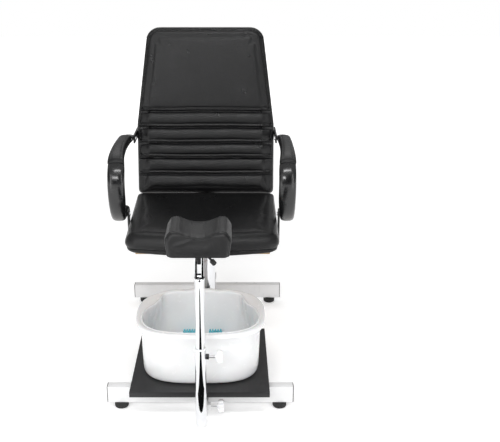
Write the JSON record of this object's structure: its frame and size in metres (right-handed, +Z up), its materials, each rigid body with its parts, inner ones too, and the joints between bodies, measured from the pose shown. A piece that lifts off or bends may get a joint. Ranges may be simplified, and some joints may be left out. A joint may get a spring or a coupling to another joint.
{
  "type": "pedicure spa chair",
  "caption": "Hydraulic pedicure chair with padded seat, ribbed back and loop arms, adjustable leg rest and lift-out foot basin.",
  "frame": {"origin": "on the floor, below the middle of the chair's overall box", "axes": "+Z up, -Y the side that the sitter faces, +X the sitter's left"},
  "size_m": [0.644, 1.1294, 1.1165],
  "materials": {
    "white_paint": "gloss powder coat",
    "black_plastic": "satin",
    "rubber_black": "matt",
    "zinc_steel": "bright zinc",
    "platform_laminate": "satin laminate on board",
    "chrome": "mirror chrome",
    "cast_black": "black paint",
    "black_steel": "black powder coat",
    "brass": "turned",
    "plywood": "raw plywood",
    "back_cover": "satin faux leather on board",
    "black_leather": "satin faux leather",
    "grey_leather": "satin faux leather",
    "arm_plastic": "polished moulded foam skin",
    "white_plastic": "gloss",
    "teal_plastic": "gloss"
  },
  "bodies": {
    "base": {"front_bar": "white_paint", "rear_bar": "white_paint", "centre_beam": "white_paint", "bar_end_caps": "black_plastic", "rubber_feet": "rubber_black", "foot_studs": "zinc_steel", "platform_board": "platform_laminate", "platform_screws": "zinc_steel", "pump_mount_plate": "white_paint", "pump_flange": "chrome", "flange_bolts": "zinc_steel", "pump_outer_tube": "chrome", "pump_cylinder": "zinc_steel", "pump_gland": "black_plastic", "pedal_bracket": "cast_black", "pedal_pin": "zinc_steel", "socket_tube": "white_paint", "socket_nut": "white_paint"},
    "ram": {"pump_ram": "chrome", "ram_piston": "zinc_steel", "thrust_washer": "brass"},
    "seat": {"swivel_hub": "black_steel", "seat_plate": "black_steel", "seat_bolts": "zinc_steel", "seat_pan": "plywood", "seat_cushion": "black_leather", "back_bracket": "black_steel", "back_board": "back_cover", "back_cushion": "black_leather", "arm_left": "arm_plastic", "arm_right": "arm_plastic", "arm_pad_left": "black_leather", "arm_pad_right": "black_leather", "arm_brackets": "black_steel", "arm_bolts": "chrome"},
    "pedal": {"pedal_lever": "chrome", "pedal_tread": "rubber_black"},
    "plunger": {"pump_plunger": "zinc_steel", "plunger_spring": "zinc_steel"},
    "reach_clamp": {"reach_screw": "zinc_steel", "reach_knob": "white_plastic"},
    "post": {"post_outer_tube": "chrome", "post_stub": "chrome", "post_bottom_cap": "chrome", "post_bush": "white_plastic", "post_nut": "black_steel"},
    "height_clamp": {"height_screw": "zinc_steel", "height_knob": "white_plastic"},
    "riser": {"post_inner_tube": "chrome"},
    "fork": {"yoke": "chrome", "tilt_screw": "chrome"},
    "tilt_lock": {"tilt_lever": "black_plastic"},
    "pad": {"pad_bracket": "black_plastic", "leg_pad": "grey_leather"},
    "basin": {"basin_shell": "white_plastic", "roller_axles": "zinc_steel"},
    "roller_fl": {"roller_front_left": "teal_plastic"},
    "roller_fr": {"roller_front_right": "teal_plastic"},
    "roller_rl": {"roller_rear_left": "teal_plastic"},
    "roller_rr": {"roller_rear_right": "teal_plastic"}
  },
  "joints": [
    {"name": "seat_lift", "type": "slide", "parent": "base", "child": "ram", "axis": [0, 0, 1], "range_m": [0, 0.14]},
    {"name": "seat_swivel", "type": "hinge", "parent": "ram", "child": "seat", "pos_m": [0, 0.1408, 0.35], "axis": [0, 0, 1], "continuous": true},
    {"name": "pedal_press", "type": "hinge", "parent": "base", "child": "pedal", "pos_m": [0, 0.2038, 0.145], "axis": [-1, 0, 0], "range_deg": [0, 18], "stiffness_Nm_per_rad": 6, "springref_deg": -14.32},
    {"name": "plunger_stroke", "type": "slide", "parent": "base", "child": "plunger", "axis": [0, 0, -1], "range_m": [0, 0.0076], "deforming": ["plunger_spring"]},
    {"name": "post_reach", "type": "slide", "parent": "base", "child": "post", "axis": [0, -1, 0], "range_m": [-0.005, 0.1]},
    {"name": "reach_knob_turn", "type": "hinge", "parent": "base", "child": "reach_clamp", "pos_m": [0.057, -0.4367, 0.042], "axis": [1, 0, 0], "range_deg": [0, 360]},
    {"name": "legrest_height", "type": "slide", "parent": "post", "child": "riser", "axis": [0, 0, 1], "range_m": [-0.04, 0.12]},
    {"name": "height_knob_turn", "type": "hinge", "parent": "post", "child": "height_clamp", "pos_m": [0.057, -0.4892, 0.25], "axis": [1, 0, 0], "range_deg": [0, 360]},
    {"name": "legrest_turn", "type": "hinge", "parent": "riser", "child": "fork", "pos_m": [0.007, -0.4892, 0.504], "axis": [0, 0, 1], "continuous": true},
    {"name": "pad_tilt", "type": "hinge", "parent": "fork", "child": "pad", "pos_m": [0.007, -0.4892, 0.583], "axis": [1, 0, 0], "range_deg": [-25, 25]},
    {"name": "tilt_lever_turn", "type": "hinge", "parent": "fork", "child": "tilt_lock", "pos_m": [0.027, -0.4892, 0.583], "axis": [1, 0, 0], "range_deg": [-60, 60]},
    {"name": "basin_lift_out", "type": "slide", "parent": "base", "child": "basin", "axis": [0, 0, 1], "range_m": [0, 0.1]},
    {"name": "roller_spin_fl", "type": "hinge", "parent": "basin", "child": "roller_fl", "pos_m": [-0.045, -0.2922, 0.135], "axis": [1, 0, 0], "continuous": true},
    {"name": "roller_spin_fr", "type": "hinge", "parent": "basin", "child": "roller_fr", "pos_m": [0.045, -0.2922, 0.135], "axis": [1, 0, 0], "continuous": true},
    {"name": "roller_spin_rl", "type": "hinge", "parent": "basin", "child": "roller_rl", "pos_m": [-0.045, -0.1322, 0.135], "axis": [1, 0, 0], "continuous": true},
    {"name": "roller_spin_rr", "type": "hinge", "parent": "basin", "child": "roller_rr", "pos_m": [0.045, -0.1322, 0.135], "axis": [1, 0, 0], "continuous": true}
  ],
  "couplings": [
    {"joint": "plunger_stroke", "follows": "pedal_press", "m_per_rad": 0.023}
  ]
}
